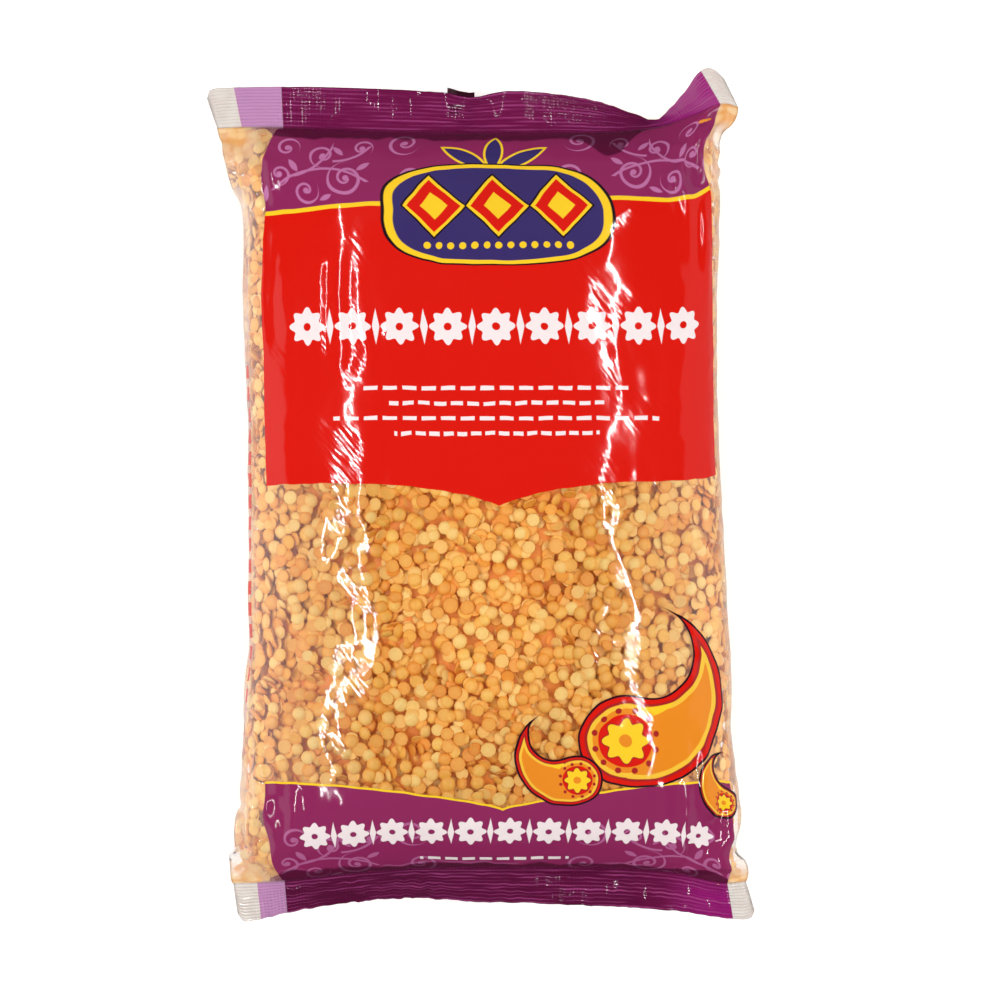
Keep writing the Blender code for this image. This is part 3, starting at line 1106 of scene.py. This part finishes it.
# A painted highlight along a crease above the bottom seal, in patches.
crease_highlight = ink.inside(abs(v - 10.5 - unrest) - 0.5, 1.2) * ink.rise(ink.cloud(ink.place(u, v), 0.04), 0.45, 0.55)
# Painted shade: a dark band above the bottom seal.
shade_over_bottom = ink.inside(v - 9.5 - unrest, 1.2) * ink.inside(-v, 0.6)
lower = near_seal(lower, at_bottom, at_bottom * on_front * (0.45 - ink.rise(u, 55, 80) * 0.45),
                  ink.rise(u, 70, 86) * ink.rise(-v, -4, 6) * 0.7, shade_over_bottom)
lower = ink.paint(crease_highlight * on_front * 0.4, lower, LILAC)
opaque = ink.most(on_front * ink.most(in_red, in_bottom), on_back, ink.inside(art),
                  ticks * 0.85, see_back, bare_seal * 0.72)

# %% [markdown]
# The film is glossy. Where it isn't printed, it is clear: light goes through it, and
# only its gloss shows. Where it turns down the sides it looks milky: its many small
# scuffs are lit, and a painted sheen stands in for the room's reflection there. Fine
# ripples break up the glints: slanting strokes in patches, a dimple over each lentil,
# and crumples near the corners.

# %%
def clear_film(net, u, v, crumpled=False):
    """The ripples of the film and its surface where it isn't printed."""
    place = net.place(u, v)
    strokes = net.cloud(net.place((u * 0.77 + v * 0.64) * 0.75, (v * 0.77 - u * 0.64) * 0.13), 1.0)
    patchy = net.rise(net.cloud(place, 0.045), 0.42, 0.6)
    dimples = net.node("ShaderNodeTexVoronoi", {"voronoi_dimensions": "2D"}, {"Vector": place, "Scale": 0.2})
    pressed = Wire(net, dimples.outputs["Distance"])
    slow = net.cloud(place, 0.09, 1.0)
    height = strokes * (patchy * 0.32 + 0.06) + slow * 1.4 - pressed * (0.12 if crumpled else 0.32)
    if crumpled:
        crumple = net.most(*(1 - net.far(u - cu, v - cv) / size for cu, cv, size in (
            (73.0, 287.0, 17.0), (84.0, 12.0, 16.0), (-72.0, 24.0, 15.0), (-80.0, 290.0, 12.0))), 0.0)
        dotted = net.rise(net.cloud(place, 0.035), 0.5, 0.62)
        height = (height + net.cloud(place, 0.22, 2.0) * crumple * 4.5
                  + net.math("SINE", u * 4.4) * in_seal * dotted * 0.3)
    ripples = net.node("ShaderNodeBump", None, {"Distance": 0.0001, "Height": height}).outputs[0]
    gloss = net.node("ShaderNodeBsdfGlossy", None, {
        "Color": (1, 1, 1, 1), "Roughness": 0.06, "Normal": ripples})
    clear = net.node("ShaderNodeBsdfTransparent", None, {"Color": (0.99, 0.99, 0.99, 1)})
    sheen = Wire(net, net.node("ShaderNodeFresnel", None, {"IOR": 1.5}).outputs[0]) * 0.9
    window = net.node("ShaderNodeMixShader", None, {0: sheen, 1: clear.outputs[0], 2: gloss.outputs[0]})
    out = abs(u - 2.0)
    down_side = net.rise(out, 92, 106) * net.rise(-out, -150, -112)
    # Painted sheen: a pale diffuse layer down the sides, in patches, and thinly over the window, stands in for the
    # room's reflection on the film.
    milky_sheen = (down_side * (0.1 + net.rise(net.cloud(place, 0.05, 1.0), 0.45, 0.53) * 0.18)
             + net.rise(out, 45, 98) * 0.12)
    corner = net.most(net.rise(v, LENGTH - 34, LENGTH - 14), net.rise(-v, -24, -8)) * net.rise(out, 86, 95)
    scuffs_and_sheen = net.node("ShaderNodeBsdfDiffuse", None, {
        "Color": net.paint(corner, (0.95, 0.92, 0.89, 1),
                           net.paint(net.rise(pressed, 0.25, 0.6), PALE_BLUR, DEEP_BLUR))})
    milky_sheen = net.most(milky_sheen, corner * 0.7)
    return ripples, net.node("ShaderNodeMixShader", None, {
        0: milky_sheen, 1: window.outputs[0], 2: scuffs_and_sheen.outputs[0]})


ripples, hazed = clear_film(ink, u, v, True)


def printed(shade):
    return ink.node("ShaderNodeBsdfPrincipled", None, {
        "Base Color": shade, "Roughness": 0.07, "IOR": 1.5, "Normal": ripples})


def either(mask, off, on):
    return ink.node("ShaderNodeMixShader", None, {0: mask, 1: off.outputs[0], 2: on.outputs[0]})


front = either(ink.math("GREATER_THAN", v, 150.0), printed(lower), printed(centre))
front = either(ink.math("GREATER_THAN", v, 241.0), front, printed(upper))
surface = either(opaque, hazed, either(on_back, front, printed(fields)))
film.data.materials.append(ink.finish(surface))
plain = Net(bpy.data.materials.new("clear_film"))
film.data.materials.append(plain.finish(clear_film(plain, *flat_film(plain))[1]))
print("film material:", len(ink.tree.nodes), "nodes")

# %% [markdown]
# Faces that lie wholly in the clear parts take the plain film, which renders faster.

# %%
uvs = np.empty(2 * len(film.data.loops))
film.data.uv_layers["film"].data.foreach_get("uv", uvs)
starts = np.empty(len(film.data.polygons), int)
film.data.polygons.foreach_get("loop_start", starts)
corner = uvs.reshape(-1, 2)[starts]
fu, fv = (corner[:, 0] - 0.5) * GIRTH, corner[:, 1] * (LENGTH + 2 * SEAL) - SEAL
in_window = (fu > PRINT_LEFT + 18) & (fu < PRINT_RIGHT - 3) & (fv > 56) & (fv < 154) & ((fu < 6) | (fv > 128))
in_left = (fu > BACK_LEFT + 3) & (fu < PRINT_LEFT - 3) & ((np.abs(fu + 98.5) > 4) | (fv < 78) | (fv > 218))
in_right = (fu > PRINT_RIGHT + 3) & (fu < BACK_RIGHT - 3) & ((fu > 109) | (fv < 30) | (fv > 68))
bare = in_window | ((in_left | in_right) & (fv > 3) & (fv < LENGTH - 4))
film.data.polygons.foreach_set("material_index", bare.astype(np.int32))
film.visible_diffuse = False
print(bare.sum(), "of", len(bare), "faces are plain clear film")

# %% [markdown]
# The seam is the same printed film, seen from its other side; its end over the top seal is painted dark.

# %%
lap_net = Net(bpy.data.materials.new("back_seam"))
lap_place = lap_net.node("ShaderNodeSeparateXYZ", None, {
    0: lap_net.node("ShaderNodeTexCoord").outputs["Object"]})
lap_y = Wire(lap_net, lap_place.outputs[1]) * 1000.0
lap_tint = lap_net.paint(lap_net.most(lap_net.inside(108.0 - lap_y), lap_net.inside(lap_y + 118.0)), RED, PURPLE)
lap_tint = lap_net.paint(lap_net.inside(150.0 - lap_y, 2.0), lap_tint, SHADOW_PURPLE)
seam.data.materials.append(lap_net.finish(lap_net.node("ShaderNodeBsdfPrincipled", None, {
    "Base Color": lap_tint, "Roughness": 0.12})))

# %% [markdown]
# ## Lentil colours

# %%
def lentil_material(name, pale, deep):
    net = Net(bpy.data.materials.new(name))
    rim_shaded_tone = net.node("ShaderNodeAttribute", {"attribute_name": "tone"})
    tint = net.paint(Wire(net, rim_shaded_tone.outputs["Fac"]), pale, deep)
    where = net.node("ShaderNodeTexCoord").outputs["Object"]
    mottle = net.rise(net.cloud(where, 700.0, 1.0, "3D"), 0.35, 0.75)
    tint = net.paint(mottle * 0.35, tint, deep)
    shader = net.node("ShaderNodeBsdfPrincipled", None, {"Base Color": tint, "Roughness": 0.5})
    return net.finish(shader)


lentils[0].data.materials.append(lentil_material("pale_lentil", colour(255, 216, 128), colour(250, 180, 84)))
lentils[1].data.materials.append(lentil_material("orange_lentil", colour(254, 202, 98), colour(246, 160, 58)))
lentils[2].data.materials.append(lentil_material("deep_lentil", colour(252, 188, 78), colour(240, 142, 44)))
heap.data.materials.append(lentil_material("heap", colour(246, 150, 52), colour(238, 128, 40)))

# %% [markdown]
# ## Where it lies
# A pale floor, a dark room with a pale panel low on each side and a dim one at each
# end, two narrow strip lights that draw the long glints, and a broad soft light above.

# %%
floor_mesh = bpy.data.meshes.new("floor")
form = bmesh.new()
bmesh.ops.create_grid(form, x_segments=1, y_segments=1, size=6)
form.to_mesh(floor_mesh)
form.free()
floor = bpy.data.objects.new("floor", floor_mesh)
bpy.context.scene.collection.objects.link(floor)
floor_net = Net(bpy.data.materials.new("floor"))
floor_shader = floor_net.node("ShaderNodeBsdfPrincipled", None, {
    "Base Color": (0.92, 0.92, 0.92, 1), "Roughness": 0.9,
    "Emission Color": (1, 1, 1, 1), "Emission Strength": 0.3})
floor.data.materials.append(floor_net.finish(floor_shader))
floor.visible_glossy = False

room = Net(bpy.data.worlds.new("room"))
bpy.context.scene.world = room.owner
way = room.node("ShaderNodeSeparateXYZ", None, {
    0: room.node("ShaderNodeTexCoord").outputs["Generated"]})
x, y, z = (Wire(room, way.outputs[k]) for k in range(3))
side_panels = room.inside(z - 0.5, 0.05) * room.inside(abs(y) * 1.2 - abs(x), 0.1) * (0.55 - x * 0.2)
end_panels = room.inside(0.22 - z, 0.05) * room.inside(z - 0.9, 0.1) * room.inside(abs(x) - abs(y), 0.2)
glow = 0.03 + side_panels + end_panels * 0.09
room.finish(room.node("ShaderNodeBackground", None, {"Color": (1, 1, 1, 1), "Strength": glow}),
            "ShaderNodeOutputWorld")


def light(name, size, energy, place, turn=(0, 0, 0), glossy=True):
    lamp = bpy.data.lights.new(name, "AREA")
    lamp.shape = "RECTANGLE"
    lamp.size, lamp.size_y = size
    lamp.energy = energy
    made = bpy.data.objects.new(name, lamp)
    made.location = place
    made.rotation_euler = turn
    made.visible_glossy = glossy
    bpy.context.scene.collection.objects.link(made)
    return made


strips = [light("strip_light", (0.015, 1.2), 5, (side * 0.62, 0, 1.05),
                (0, math.atan2(side * 0.62, 1.0), 0)) for side in (-1, 1)]
above = light("soft_light", (2.2, 2.2), 15.5, (0, 0, 1.6), glossy=False)
beside = [light("side_light", (1.4, 0.5), 4.2, (side * 0.9, 0, 0.3),
                (0, side * math.radians(75), 0), glossy=False) for side in (-1, 1)]

camera = bpy.data.cameras.new("camera")
camera.sensor_width = 36
camera.lens = 36 * 2.0 / 0.39
eye = bpy.data.objects.new("camera", camera)
eye.location = ((500 - 481) * 0.39 * MM, -(500 - 495.5) * 0.39 * MM, 2.03)
bpy.context.scene.collection.objects.link(eye)
bpy.context.scene.camera = eye
bpy.context.scene.view_settings.view_transform = "Standard"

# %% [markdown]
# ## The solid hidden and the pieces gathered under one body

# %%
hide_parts("bag")
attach(film, "root")
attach(seam, "root")
for piece in [heap] + lentils:
    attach(piece, "root")
